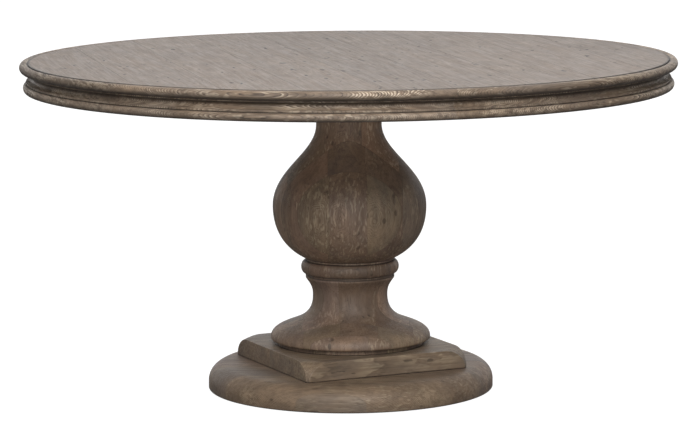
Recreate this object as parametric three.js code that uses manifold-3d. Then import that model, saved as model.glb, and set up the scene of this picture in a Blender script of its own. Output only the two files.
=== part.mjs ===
// Round dining table on a turned pedestal: a planked oak top with a moulded rim,
// a baluster column drawn together by one steel tie rod, a square plinth and a
// round base that stands on four screw-in levelling feet.
// Millimetres, +Z up. The origin is on the floor under the middle of the table.

import * as THREE from "three";
import { mergeVertices } from "three/addons/utils/BufferGeometryUtils.js";
import Module from "manifold-3d";

const wasm = await Module();
wasm.setup();

// ---- Driving dimensions -------------------------------------------------

const tableHeight = 775;
const topRadius = 762;
const seam = 0.3; // left between faces that are glued or drawn tight

// Top
const boardCount = 9;
const boardThick = 22;
const topTurn = -12.5; // degrees between the boards and the plinth's sides
const lipWidth = 20;
const lipRound = 10;
const lipUndercut = 6.5;
const lipStep = 1;
const rimSegments = 6;
const rimTurn = 5; // degrees from the boards' direction to a rim joint
const mouldingDepth = 44.2;
const mouldingWidth = 54; // from its top fillet inwards
const mouldingSetback = 17; // from the lip's nose to the top fillet
const coveDepth = 12;
const coveTop = 2.7;
const coveHeight = 17;
const filletHeight = 6;
const filletProud = 2;
const beadProud = 9;

// Cleats and mounting plate
const cleatThick = 40;
const cleatWidth = 90;
const cleatSpacing = 300;
const cleatEndRoom = 30;
const cleatBevel = 22;
const plateSize = 400;
const plateThick = 30;
const plateBoltInset = 40; // from the plate's edge to a bolt

// Turned column
const neckRadius = 76.5;
const neckHeight = 61;
const bellyRadius = 180;
const bellyShare = 0.4; // where the belly stands in the bulb's height
const bulbFootRadius = 104;
const bulbFootHeight = 5; // an upright strip under the bulb
const collarRadius = 114.5;
const collarHeight = 36;
const collarRound = 10.5;
const collarFootHeight = 5; // an upright strip under the collar's half-round
const spoolHeight = 151.6;
const spoolTopRadius = 104;
const waistRadius = 87.3;
const waistDrop = 46; // from the spool's top to its waist
const skirtShoulderRadius = 120.6;
const skirtShoulderHeight = 50.6;
const skirtRadius = 187;
const skirtLift = 6.6; // from the spool's underside to its widest line
const skirtFootRadius = 181;
const footRingRadius = 172;
const footRingHeight = 10;
const tenonRadius = 45;
const tenonDepth = 34;
const footTenonRadius = 60;
const footTenonDepth = 20;
const tenonEndRoom = 2;

// How long each turned curve keeps to the direction that it starts or ends in, as a
// share of the stretch that it spans: out from the axis, or along it.
const bulbFootOut = 0.43;
const bulbFootRise = 0.12;
const underBellyRise = 0.6;
const overBellyRise = 0.44;
const underNeckRise = 0.35;
const skirtFootRise = 0.2;
const overSkirtRise = 0.58;
const shoulderOut = 0.43;
const shoulderFall = 0.32;
const shoulderIn = 0.86;
const shoulderRise = 0.26;
const underWaistRise = 0.37;
const overWaistRise = 0.48;
const spoolTopIn = 0.47;
const spoolTopFall = 0.36;
const spoolBrim = 0.1;

// Plinth and base
const plinthSide = 409;
const plinthCornerRadius = 284.6;
const plinthThick = 44;
const plinthRoundWidth = 37;
const plinthRoundHeight = 42;
const baseRadius = 334;
const baseThick = 58.4;
const baseRoundWidth = 41;
const baseRoundHeight = 39.5;
const baseEasing = 2;
const floorGap = 1; // base's underside above the floor with the feet screwed in

// Tie rod and its fixings
const rodRadius = 6;
const rodBoreRadius = 9;
const rodEndOut = 4;
const nutAcross = 19;
const nutThick = 10;
const washerRadius = 18;
const washerThick = 3;
const washerPocketRoom = 4;
const nutPocketDepth = 24;

// Plate bolts and base screws
const boltRadius = 5;
const boltLength = 62;
const boltHeadAcross = 17;
const boltHeadThick = 7;
const boltWasherRadius = 12;
const boltWasherThick = 2;
const screwCircle = 150;
const screwRadius = 4;
const screwLength = 76;
const screwHeadRadius = 9;
const screwHeadThick = 6;
const screwPocketDepth = 10;
const screwPocketRoom = 3;

// Levelling feet
const footInset = 49; // from the base's edge to a foot's axis
const padRadius = 16;
const padThick = 6;
const padBossRadius = 8;
const padBossHeight = 4;
const padEasing = 1;
const studRadius = 4;
const studTurnRoom = 0.05; // radial room that lets a stud turn
const studLength = 33;
const studSocketFloor = 3;
const studNutAcross = 13;
const studNutThick = 4;
const insertRadius = 7;
const insertLength = 24;
const footPocketRoom = 3;
const studEndRoom = 4;

// Facets
const rimFacets = 48;
const turnedFacets = 32;
const smallFacets = 12;
const rimCurveSteps = 4;
const bulbCurveSteps = 8;
const columnCurveSteps = 5;
const baseCurveSteps = 4;
const hexSides = 6;
const cutPast = 1; // how far a cutter runs on past the face it opens

// ---- Levels worked out from the floor up ---------------------------------

const baseTop = floorGap + baseThick;
const plinthTop = baseTop + seam + plinthThick;
const footRingBottom = plinthTop + seam;
const spoolBottom = footRingBottom + footRingHeight + seam;
const spoolTop = spoolBottom + spoolHeight;
const collarBottom = spoolTop + seam;
const bulbBottom = collarBottom + collarHeight + seam;
const boardBottom = tableHeight - boardThick;
const cleatBottom = boardBottom - seam - cleatThick;
const plateBottom = cleatBottom - seam - plateThick;
const neckTop = plateBottom - seam;
const neckBottom = neckTop - neckHeight;
const bulbHeight = neckBottom - bulbBottom;
const fieldRadius = topRadius - lipWidth;
const mouldingInner = topRadius - mouldingSetback - mouldingWidth;

// ---- Materials ------------------------------------------------------------

const oakTop = { color: 0x9b928c, roughness: 0.72, metalness: 0 };
const oakRim = { color: 0x86705c, roughness: 0.66, metalness: 0 };
const oakColumn = { color: 0x66564a, roughness: 0.7, metalness: 0 };
const oakHidden = { color: 0xa38a6c, roughness: 0.8, metalness: 0 };
const zincSteel = { color: 0x9a9c9f, roughness: 0.4, metalness: 0.9 };
const blackPlastic = { color: 0x1c1c1e, roughness: 0.6, metalness: 0 };

// ---- Shape helpers --------------------------------------------------------

const degrees = THREE.MathUtils.degToRad;

function toSolid(geometry) {
  const bare = geometry.index ? geometry.toNonIndexed() : geometry.clone();
  bare.deleteAttribute("normal");
  bare.deleteAttribute("uv");
  const merged = mergeVertices(bare, 1e-4);
  return new wasm.Manifold(new wasm.Mesh({
    numProp: 3,
    vertProperties: new Float32Array(merged.attributes.position.array),
    triVerts: new Uint32Array(merged.index.array),
  }));
}

function toGeometry(solid) {
  const mesh = solid.getMesh();
  const geometry = new THREE.BufferGeometry();
  geometry.setAttribute("position", new THREE.BufferAttribute(mesh.vertProperties, 3));
  geometry.setIndex(new THREE.BufferAttribute(mesh.triVerts, 1));
  geometry.computeVertexNormals();
  return geometry;
}

// A closed outline of (radius, height) points spun about Z.
function turn(outline, facets) {
  return new THREE.LatheGeometry(outline, facets).rotateX(Math.PI / 2);
}

// An upright round bar or hole cutter, or a hexagonal one with six facets.
function bar(radius, bottom, top, facets = smallFacets) {
  const shape = new THREE.CylinderGeometry(radius, radius, top - bottom, facets);
  return shape.rotateX(Math.PI / 2).translate(0, 0, (bottom + top) / 2);
}

// A hole cutter whose flats stay outside the stated radius.
function holeCutter(radius, bottom, top, facets = smallFacets) {
  return bar(radius / Math.cos(Math.PI / facets), bottom, top, facets);
}

function ring(innerRadius, outerRadius, bottom, top, facets = smallFacets) {
  const inner = innerRadius / Math.cos(Math.PI / facets);
  return turn([
    new THREE.Vector2(inner, bottom),
    new THREE.Vector2(outerRadius, bottom),
    new THREE.Vector2(outerRadius, top),
    new THREE.Vector2(inner, top),
    new THREE.Vector2(inner, bottom),
  ], facets);
}

function hexRadius(acrossFlats) {
  return acrossFlats / 2 / Math.cos(Math.PI / hexSides);
}

function block(sizeX, sizeY, bottom, top) {
  return new THREE.BoxGeometry(sizeX, sizeY, top - bottom).translate(0, 0, (bottom + top) / 2);
}

function cut(geometry, cutters) {
  const solid = cutters.reduce((left, cutter) => left.subtract(toSolid(cutter)), toSolid(geometry));
  return toGeometry(solid);
}

function join(geometries) {
  const solids = geometries.map(toSolid);
  return toGeometry(solids.reduce((sum, next) => sum.add(next)));
}

// A length of moulding: a flat outline of (radius, height) points carried
// round the Z axis from one angle to another, with both ends closed.
function mouldingSegment(outline, fromAngle, toAngle, steps) {
  const positions = [];
  for (let step = 0; step <= steps; step += 1) {
    const angle = fromAngle + ((toAngle - fromAngle) * step) / steps;
    for (const point of outline) {
      positions.push(point.x * Math.cos(angle), point.x * Math.sin(angle), point.y);
    }
  }
  const count = outline.length;
  const index = [];
  for (let step = 0; step < steps; step += 1) {
    for (let side = 0; side < count; side += 1) {
      const here = step * count + side;
      const next = step * count + ((side + 1) % count);
      index.push(here, here + count, next + count, here, next + count, next);
    }
  }
  const last = steps * count;
  for (const [a, b, c] of THREE.ShapeUtils.triangulateShape(outline, [])) {
    index.push(a, b, c);
    index.push(last + a, last + c, last + b);
  }
  const geometry = new THREE.BufferGeometry();
  geometry.setAttribute("position", new THREE.Float32BufferAttribute(positions, 3));
  geometry.setIndex(index);
  geometry.computeVertexNormals();
  return geometry;
}

function around(radius, count, firstAngle = 0) {
  const spots = [];
  for (let spot = 0; spot < count; spot += 1) {
    const angle = degrees(firstAngle) + (spot * 2 * Math.PI) / count;
    spots.push([radius * Math.cos(angle), radius * Math.sin(angle)]);
  }
  return spots;
}

function addPiece(group, name, geometry, look) {
  const mesh = new THREE.Mesh(geometry, new THREE.MeshStandardMaterial(look));
  mesh.name = name;
  group.add(mesh);
}

// ---- Top: boards, lip, moulding -------------------------------------------

// A cutter with the same facets as the rim, so that the seam stays even.
function fieldDisc() {
  const disc = bar(fieldRadius, boardBottom, tableHeight, rimFacets);
  return disc.rotateZ(degrees(rimTurn) + Math.PI / 2);
}

function fieldBoard(number) {
  const width = (2 * fieldRadius) / boardCount;
  const left = -fieldRadius + number * width;
  const board = block(width - seam, 2 * topRadius, boardBottom, tableHeight);
  board.translate(left + width / 2, 0, 0);
  return toGeometry(toSolid(board).intersect(toSolid(fieldDisc())));
}

function lipOutline() {
  const inner = fieldRadius + seam;
  const nose = topRadius - lipRound;
  const noseBottom = boardBottom + lipStep;
  const path = new THREE.Path();
  path.moveTo(inner, boardBottom);
  path.lineTo(nose - lipUndercut, boardBottom);
  path.lineTo(nose - lipUndercut, noseBottom);
  path.lineTo(nose, noseBottom);
  path.absellipse(
    nose,
    (noseBottom + tableHeight) / 2,
    lipRound,
    (tableHeight - noseBottom) / 2,
    -Math.PI / 2,
    Math.PI / 2,
  );
  path.lineTo(inner, tableHeight);
  return distinct(path.getPoints(rimCurveSteps));
}

function mouldingOutline() {
  const top = boardBottom - seam;
  const bottom = top - mouldingDepth;
  const fillet = topRadius - mouldingSetback;
  const coveLow = top - coveTop - coveHeight;
  const beadTop = coveLow - filletHeight;
  const beadMiddle = (beadTop + bottom) / 2;
  const path = new THREE.Path();
  path.moveTo(mouldingInner, bottom);
  path.lineTo(fillet + filletProud, bottom);
  path.absellipse(
    fillet + filletProud,
    beadMiddle,
    beadProud - filletProud,
    beadTop - beadMiddle,
    -Math.PI / 2,
    Math.PI / 2,
  );
  path.lineTo(fillet + filletProud, coveLow);
  path.lineTo(fillet, coveLow);
  path.absellipse(
    fillet,
    coveLow + coveHeight / 2,
    coveDepth,
    coveHeight / 2,
    -Math.PI / 2,
    Math.PI / 2,
    true,
  );
  path.lineTo(fillet, top);
  path.lineTo(mouldingInner, top);
  return distinct(path.getPoints(rimCurveSteps));
}

// Straight stretches come out of getPoints with their joints doubled.
function distinct(points) {
  return points.filter((point, at) => {
    const before = points[(at + points.length - 1) % points.length];
    return point.distanceTo(before) > 1e-4;
  });
}

// The same for an outline that ends where it starts.
function distinctClosed(points) {
  const open = distinct(points.slice(0, -1));
  return [...open, open[0].clone()];
}

function rimPiece(outline, number) {
  const span = (2 * Math.PI) / rimSegments;
  const from = degrees(rimTurn) - Math.PI / 2 + number * span;
  const inset = seam / 2 / fieldRadius;
  return mouldingSegment(outline, from + inset, from + span - inset, rimFacets / rimSegments);
}

function cleat() {
  const y = cleatSpacing / 2 + cleatWidth / 2;
  const reach = Math.sqrt(mouldingInner ** 2 - y ** 2) * Math.cos(Math.PI / rimFacets);
  const half = reach - cleatEndRoom;
  const side = new THREE.Shape();
  side.moveTo(-half + cleatBevel, 0);
  side.lineTo(half - cleatBevel, 0);
  side.lineTo(half, cleatBevel);
  side.lineTo(half, cleatThick);
  side.lineTo(-half, cleatThick);
  side.lineTo(-half, cleatBevel);
  side.closePath();
  const shape = new THREE.ExtrudeGeometry(side, { depth: cleatWidth, bevelEnabled: false });
  return shape.rotateX(Math.PI / 2).translate(0, cleatWidth / 2, cleatBottom);
}

function buildTop() {
  const top = new THREE.Group();
  top.rotation.z = degrees(topTurn);
  for (let number = 0; number < boardCount; number += 1) {
    addPiece(top, `field_board_${number + 1}`, fieldBoard(number), oakTop);
  }
  for (let number = 0; number < rimSegments; number += 1) {
    addPiece(top, `lip_segment_${number + 1}`, rimPiece(lipOutline(), number), oakRim);
    addPiece(top, `moulding_segment_${number + 1}`, rimPiece(mouldingOutline(), number), oakRim);
  }

  const half = plateSize / 2 - plateBoltInset;
  const boltRow = cleatSpacing / 2;
  const boltBottom = plateBottom - boltWasherThick - 2 * seam;
  const boltTop = boltBottom + boltLength;
  const boltSpots = [[half, boltRow], [-half, boltRow], [-half, -boltRow], [half, -boltRow]];
  const pilot = holeCutter(boltRadius + seam, cleatBottom - cutPast, boltTop + tenonEndRoom);
  for (const [name, y] of [["cleat_front", -boltRow], ["cleat_back", boltRow]]) {
    const pilots = [half, -half].map((x) => pilot.clone().translate(x, 0, 0));
    addPiece(top, name, cut(cleat(), pilots).translate(0, y, 0), oakHidden);
  }

  const plateHoles = boltSpots.map(([x, y]) => {
    return holeCutter(boltRadius + seam, plateBottom - cutPast, cleatBottom).translate(x, y, 0);
  });
  const neckSocket = [plateBottom - cutPast, neckTenonTop() + seam];
  plateHoles.push(holeCutter(tenonRadius + seam, ...neckSocket, turnedFacets));
  plateHoles.push(holeCutter(rodBoreRadius, plateBottom, cleatBottom));
  const plate = block(plateSize, plateSize, plateBottom, plateBottom + plateThick);
  addPiece(top, "mounting_plate", cut(plate, plateHoles), oakHidden);

  boltSpots.forEach(([x, y], at) => {
    const headBottom = boltBottom - boltHeadThick;
    const head = bar(hexRadius(boltHeadAcross), headBottom, boltBottom, hexSides);
    const bolt = join([head, bar(boltRadius, boltBottom - cutPast, boltTop)]);
    addPiece(top, `plate_bolt_${at + 1}`, bolt.translate(x, y, 0), zincSteel);
    const washer = ring(
      boltRadius + seam,
      boltWasherRadius,
      boltBottom + seam,
      boltBottom + seam + boltWasherThick,
    );
    addPiece(top, `plate_washer_${at + 1}`, washer.translate(x, y, 0), zincSteel);
  });
  return top;
}

// ---- Column ---------------------------------------------------------------

function neckTenonTop() {
  return plateBottom + plateThick / 2;
}

// The bulb's tenon goes down through the collar into the spool.
function bulbTenonBottom() {
  return spoolTop - tenonDepth;
}

function balusterOutline() {
  const belly = bulbBottom + bellyShare * bulbHeight;
  const footTop = bulbBottom + bulbFootHeight;
  const path = new THREE.Path();
  path.moveTo(rodBoreRadius, bulbTenonBottom());
  path.lineTo(tenonRadius, bulbTenonBottom());
  path.lineTo(tenonRadius, bulbBottom);
  path.lineTo(bulbFootRadius, bulbBottom);
  path.lineTo(bulbFootRadius, footTop);
  path.bezierCurveTo(
    bulbFootRadius + bulbFootOut * (bellyRadius - bulbFootRadius),
    footTop + bulbFootRise * (belly - footTop),
    bellyRadius,
    belly - underBellyRise * (belly - footTop),
    bellyRadius,
    belly,
  );
  path.bezierCurveTo(
    bellyRadius,
    belly + overBellyRise * (neckBottom - belly),
    neckRadius,
    neckBottom - underNeckRise * (neckBottom - belly),
    neckRadius,
    neckBottom,
  );
  path.lineTo(neckRadius, neckTop);
  path.lineTo(tenonRadius, neckTop);
  path.lineTo(tenonRadius, neckTenonTop());
  path.lineTo(rodBoreRadius, neckTenonTop());
  path.lineTo(rodBoreRadius, bulbTenonBottom());
  return distinctClosed(path.getPoints(bulbCurveSteps));
}

function collarOutline() {
  const inner = (tenonRadius + seam) / Math.cos(Math.PI / turnedFacets);
  const shoulder = collarRadius - collarRound;
  const roundBottom = collarBottom + collarFootHeight;
  const top = collarBottom + collarHeight;
  const path = new THREE.Path();
  path.moveTo(inner, collarBottom);
  path.lineTo(shoulder, collarBottom);
  path.lineTo(shoulder, roundBottom);
  path.absellipse(
    shoulder,
    (roundBottom + top) / 2,
    collarRound,
    (top - roundBottom) / 2,
    -Math.PI / 2,
    Math.PI / 2,
  );
  path.lineTo(inner, top);
  path.lineTo(inner, collarBottom);
  return distinctClosed(path.getPoints(columnCurveSteps));
}

function spoolOutline() {
  const socket = (tenonRadius + seam) / Math.cos(Math.PI / turnedFacets);
  const socketFloor = bulbTenonBottom() - tenonEndRoom;
  const tenonEnd = plinthTop - footTenonDepth;
  const waist = spoolTop - waistDrop;
  const shoulder = spoolBottom + skirtShoulderHeight;
  const widest = spoolBottom + skirtLift;
  const path = new THREE.Path();
  path.moveTo(rodBoreRadius, tenonEnd);
  path.lineTo(footTenonRadius, tenonEnd);
  path.lineTo(footTenonRadius, spoolBottom);
  path.lineTo(skirtFootRadius, spoolBottom);
  path.quadraticCurveTo(
    skirtRadius,
    spoolBottom + skirtFootRise * skirtLift,
    skirtRadius,
    widest,
  );
  path.bezierCurveTo(
    skirtRadius,
    widest + overSkirtRise * (shoulder - widest),
    skirtShoulderRadius + shoulderOut * (skirtRadius - skirtShoulderRadius),
    shoulder - shoulderFall * (shoulder - widest),
    skirtShoulderRadius,
    shoulder,
  );
  path.bezierCurveTo(
    skirtShoulderRadius - shoulderIn * (skirtShoulderRadius - waistRadius),
    shoulder + shoulderRise * (waist - shoulder),
    waistRadius,
    waist - underWaistRise * (waist - shoulder),
    waistRadius,
    waist,
  );
  path.bezierCurveTo(
    waistRadius,
    waist + overWaistRise * waistDrop,
    spoolTopRadius - spoolTopIn * (spoolTopRadius - waistRadius),
    spoolTop - spoolTopFall * waistDrop,
    spoolTopRadius,
    spoolTop - spoolBrim * waistDrop,
  );
  path.lineTo(spoolTopRadius, spoolTop);
  path.lineTo(socket, spoolTop);
  path.lineTo(socket, socketFloor);
  path.lineTo(rodBoreRadius, socketFloor);
  path.lineTo(rodBoreRadius, tenonEnd);
  return distinctClosed(path.getPoints(columnCurveSteps));
}

// ---- Plinth and base ------------------------------------------------------

function squarePlinth() {
  const bottom = baseTop + seam;
  const path = new THREE.Path();
  path.moveTo(0, bottom);
  path.lineTo(plinthCornerRadius, bottom);
  path.lineTo(plinthCornerRadius, plinthTop - plinthRoundHeight);
  path.absellipse(
    plinthCornerRadius - plinthRoundWidth,
    plinthTop - plinthRoundHeight,
    plinthRoundWidth,
    plinthRoundHeight,
    0,
    Math.PI / 2,
  );
  path.lineTo(0, plinthTop);
  const disc = toSolid(turn(path.getPoints(baseCurveSteps), rimFacets));
  const square = toSolid(block(plinthSide, plinthSide, bottom - cutPast, plinthTop + cutPast));
  const blank = toGeometry(disc.intersect(square));
  const mortiseFloor = plinthTop - footTenonDepth - tenonEndRoom;
  const cutters = around(screwCircle, 4).map(([x, y]) => {
    const pilot = holeCutter(screwRadius + seam, bottom - cutPast, screwTop() + tenonEndRoom);
    return pilot.translate(x, y, 0);
  });
  cutters.push(holeCutter(footTenonRadius + seam, mortiseFloor, plinthTop + cutPast, turnedFacets));
  cutters.push(holeCutter(rodBoreRadius, bottom - cutPast, plinthTop));
  return cut(blank, cutters);
}

function screwTop() {
  return floorGap + screwPocketDepth + screwLength;
}

function baseDisc() {
  const path = new THREE.Path();
  path.moveTo(0, floorGap);
  path.lineTo(baseRadius - baseEasing, floorGap);
  path.lineTo(baseRadius, floorGap + baseEasing);
  path.lineTo(baseRadius, baseTop - baseRoundHeight);
  path.absellipse(
    baseRadius - baseRoundWidth,
    baseTop - baseRoundHeight,
    baseRoundWidth,
    baseRoundHeight,
    0,
    Math.PI / 2,
  );
  path.lineTo(0, baseTop);
  const cutters = [
    holeCutter(rodBoreRadius, floorGap - cutPast, baseTop + cutPast),
    holeCutter(washerRadius + washerPocketRoom, floorGap - cutPast, floorGap + nutPocketDepth),
  ];
  for (const [x, y] of around(screwCircle, 4)) {
    const screwHole = holeCutter(screwRadius + seam, floorGap, baseTop + cutPast);
    cutters.push(screwHole.translate(x, y, 0));
    const pocket = holeCutter(
      screwHeadRadius + screwPocketRoom,
      floorGap - cutPast,
      floorGap + screwPocketDepth,
    );
    cutters.push(pocket.translate(x, y, 0));
  }
  for (const [x, y] of footSpots()) {
    const pocket = holeCutter(padRadius + footPocketRoom, floorGap - cutPast, insertBottom());
    cutters.push(pocket.translate(x, y, 0));
    const well = holeCutter(insertRadius + seam, floorGap, studTop() + studEndRoom);
    cutters.push(well.translate(x, y, 0));
  }
  return cut(turn(path.getPoints(baseCurveSteps), rimFacets), cutters);
}

// ---- Tie rod, screws and feet -----------------------------------------------

function addTieRod(group) {
  const hole = rodRadius + seam;
  const plateFloor = plateBottom + plateThick + seam;
  const lowWasherTop = floorGap + nutPocketDepth - seam;
  const lowNutTop = lowWasherTop - washerThick - seam;
  const highNutBottom = plateFloor + washerThick + seam;
  const rodBottom = lowNutTop - nutThick - rodEndOut;
  const rodTop = highNutBottom + nutThick + rodEndOut;
  addPiece(group, "tie_rod", bar(rodRadius, rodBottom, rodTop), zincSteel);
  const topWasher = ring(hole, washerRadius, plateFloor, plateFloor + washerThick);
  addPiece(group, "tie_washer_top", topWasher, zincSteel);
  const lowWasher = ring(hole, washerRadius, lowWasherTop - washerThick, lowWasherTop);
  addPiece(group, "tie_washer_bottom", lowWasher, zincSteel);
  const nutBottoms = [["tie_nut_top", highNutBottom], ["tie_nut_bottom", lowNutTop - nutThick]];
  for (const [name, bottom] of nutBottoms) {
    const nut = cut(
      bar(hexRadius(nutAcross), bottom, bottom + nutThick, hexSides),
      [holeCutter(hole, bottom - cutPast, bottom + nutThick + cutPast)],
    );
    addPiece(group, name, nut, zincSteel);
  }
}

function addBaseScrews(group) {
  const headTop = floorGap + screwPocketDepth - seam;
  around(screwCircle, 4).forEach(([x, y], at) => {
    const head = bar(screwHeadRadius, headTop - screwHeadThick, headTop);
    const screw = join([head, bar(screwRadius, headTop - cutPast, screwTop())]);
    addPiece(group, `base_screw_${at + 1}`, screw.translate(x, y, 0), zincSteel);
  });
}

function footSpots() {
  return around(baseRadius - footInset, 4, 45);
}

function studTop() {
  return studSocketFloor + studTurnRoom + studLength;
}

function studNutBottom() {
  return padThick + padBossHeight + seam;
}

function insertBottom() {
  return studNutBottom() + studNutThick + seam;
}

function padOutline() {
  const socket = (studRadius + studTurnRoom) / Math.cos(Math.PI / smallFacets);
  const path = new THREE.Path();
  path.moveTo(0, 0);
  path.lineTo(padRadius - padEasing, 0);
  path.lineTo(padRadius, padEasing);
  path.lineTo(padRadius, padThick);
  path.lineTo(padBossRadius, padThick);
  path.lineTo(padBossRadius, padThick + padBossHeight);
  path.lineTo(socket, padThick + padBossHeight);
  path.lineTo(socket, studSocketFloor);
  path.lineTo(0, studSocketFloor);
  return path.getPoints(1);
}

function addFeet(group) {
  const studBottom = studSocketFloor + studTurnRoom;
  footSpots().forEach(([x, y], at) => {
    const number = at + 1;
    const insert = ring(
      studRadius + studTurnRoom,
      insertRadius,
      insertBottom(),
      insertBottom() + insertLength,
    );
    addPiece(group, `foot_insert_${number}`, insert.translate(x, y, 0), zincSteel);
    const nutTop = studNutBottom() + studNutThick;
    const nut = bar(hexRadius(studNutAcross), studNutBottom(), nutTop, hexSides);
    const stud = join([nut, bar(studRadius, studBottom, studTop())]);
    addPiece(group, `foot_stud_${number}`, stud.translate(x, y, 0), zincSteel);
    const pad = turn(padOutline(), smallFacets);
    addPiece(group, `foot_pad_${number}`, pad.translate(x, y, 0), blackPlastic);
  });
}

function buildPedestal() {
  const pedestal = new THREE.Group();
  addPiece(pedestal, "baluster", turn(balusterOutline(), turnedFacets), oakColumn);
  addPiece(pedestal, "collar_ring", turn(collarOutline(), turnedFacets), oakColumn);
  addPiece(pedestal, "spool", turn(spoolOutline(), turnedFacets), oakColumn);
  const footRing = ring(
    footTenonRadius + seam,
    footRingRadius,
    footRingBottom,
    footRingBottom + footRingHeight,
    turnedFacets,
  );
  addPiece(pedestal, "foot_ring", footRing, oakColumn);
  addPiece(pedestal, "square_plinth", squarePlinth(), oakColumn);
  addPiece(pedestal, "base_disc", baseDisc(), oakColumn);
  addTieRod(pedestal);
  addBaseScrews(pedestal);
  addFeet(pedestal);
  return pedestal;
}

const table = new THREE.Group();
table.add(buildTop());
table.add(buildPedestal());

export default table;
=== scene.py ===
"""Round pedestal table in weathered oak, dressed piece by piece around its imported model.
The sections follow the table as it is put together, from the base disc up to the lip."""

import math
import random

import bmesh
import bpy
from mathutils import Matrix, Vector, noise


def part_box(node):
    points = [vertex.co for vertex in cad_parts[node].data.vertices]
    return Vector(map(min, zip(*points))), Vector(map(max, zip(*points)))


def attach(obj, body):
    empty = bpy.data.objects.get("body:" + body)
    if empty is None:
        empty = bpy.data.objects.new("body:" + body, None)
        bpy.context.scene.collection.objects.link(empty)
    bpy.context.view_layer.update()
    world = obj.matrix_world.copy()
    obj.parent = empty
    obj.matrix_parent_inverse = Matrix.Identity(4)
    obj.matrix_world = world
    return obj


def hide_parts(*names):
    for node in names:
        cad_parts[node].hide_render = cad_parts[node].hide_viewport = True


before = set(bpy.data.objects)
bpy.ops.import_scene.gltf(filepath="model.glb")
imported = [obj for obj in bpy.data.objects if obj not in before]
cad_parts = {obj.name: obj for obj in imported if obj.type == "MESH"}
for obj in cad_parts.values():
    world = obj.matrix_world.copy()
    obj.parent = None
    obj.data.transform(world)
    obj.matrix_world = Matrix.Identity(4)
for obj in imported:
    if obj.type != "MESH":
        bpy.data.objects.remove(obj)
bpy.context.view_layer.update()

# ---------------------------------------------------------------- Base disc
# The table stands on a round slab of oak, glued up from boards and turned on a face
# plate: a wide quarter-round runs up from its upright edge, and its underside is
# drilled for the tie rod's nut, four screws and four levelling feet.

SLAB_ROUND = (0.041, 0.0395)
SLAB_EASING = 0.002
SLAB_FLAT = 0.12
SLAB_SHADE_RISE = 0.022
GRAIN_TURN = math.radians(-33)
BOARD_WIDTH = 0.118
ARRIS = 0.0012
SOFT_TURN = math.radians(25)
CRISP_TURN = math.radians(38)
WAVER_PITCH = 9

SCREW_CIRCLE = 0.150
SCREW_POCKET = (0.012, 0.010)
SCREW_HOLE = 0.0043
FOOT_POCKET = 0.019
FOOT_BORE = (0.0073, 0.041)
NUT_POCKET = (0.022, 0.024)
ROD_BORE = 0.009
DRILL_PAST = 0.01


def arc(across, up, radius_across, radius_up, first, last, steps=12):
    """Points on an ellipse's arc, with its angles in degrees."""
    points = []
    for step in range(steps + 1):
        angle = math.radians(first + (last - first) * step / steps)
        points.append((across + radius_across * math.cos(angle), up + radius_up * math.sin(angle)))
    return points


def worn(outline, reach=ARRIS, steps=4):
    """A closed outline with each sharp corner rounded off as handling rounds it."""
    rounded = []
    after = outline[1:] + outline[:1]
    before = outline[-1:] + outline[:-1]
    for last, corner, following in zip(before, outline, after):
        into = Vector(corner) - Vector(last)
        out = Vector(following) - Vector(corner)
        if into.length < 1e-7 or out.length < 1e-7:
            continue
        if abs(into.angle_signed(out)) < SOFT_TURN:
            rounded.append(corner)
            continue
        start = Vector(corner) - into.normalized() * min(reach, 0.4 * into.length)
        end = Vector(corner) + out.normalized() * min(reach, 0.4 * out.length)
        # A second point just before and after the arris keeps the faces beside it flat.
        rounded.append(tuple(start - into.normalized() * min(reach, 0.05 * into.length)))
        for step in range(steps + 1):
            t = step / steps
            point = (1 - t) ** 2 * start + 2 * t * (1 - t) * Vector(corner) + t * t * end
            rounded.append(tuple(point))
        rounded.append(tuple(end + out.normalized() * min(reach, 0.05 * out.length)))
    return rounded


def piece_of(name, corners, faces):
    """A new smooth-shaded piece whose sharp corners stay crisp."""
    mesh = bpy.data.meshes.new(name)
    mesh.from_pydata([tuple(corner) for corner in corners], [], faces)
    return finished(name, mesh)


def finished(name, mesh):
    """Joins doubled corners, turns every face outwards and hangs the piece in the scene."""
    shape = bmesh.new()
    shape.from_mesh(mesh)
    bmesh.ops.remove_doubles(shape, verts=shape.verts, dist=1e-6)
    bmesh.ops.recalc_face_normals(shape, faces=shape.faces)
    shape.to_mesh(mesh)
    shape.free()
    mesh.shade_smooth()
    mesh.set_sharp_from_angle(angle=CRISP_TURN)
    piece = bpy.data.objects.new(name, mesh)
    bpy.context.scene.collection.objects.link(piece)
    return piece


def ringed(count_around, count):
    """Faces between closed outlines of count corners each, set one after another in a ring."""
    faces = []
    for step in range(count_around):
        here = step * count
        there = ((step + 1) % count_around) * count
        for side in range(count):
            beside = (side + 1) % count
            faces.append((here + side, there + side, there + beside, here + beside))
    return faces


def spun(outline, steps=288, waver=0.0, seed=0.0):
    """A closed outline of (radius, height) carried once round the upright axis.
    waver is how far the hand-finished surface strays from a true circle."""
    corners = []
    for step in range(steps):
        angle = 2 * math.pi * step / steps
        for radius, height in outline:
            spot = Vector((radius * math.cos(angle), radius * math.sin(angle), height + seed))
            reach = radius + waver * noise.noise(spot * WAVER_PITCH)
            corners.append((reach * math.cos(angle), reach * math.sin(angle), height))
    return corners, ringed(steps, len(outline))


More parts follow.
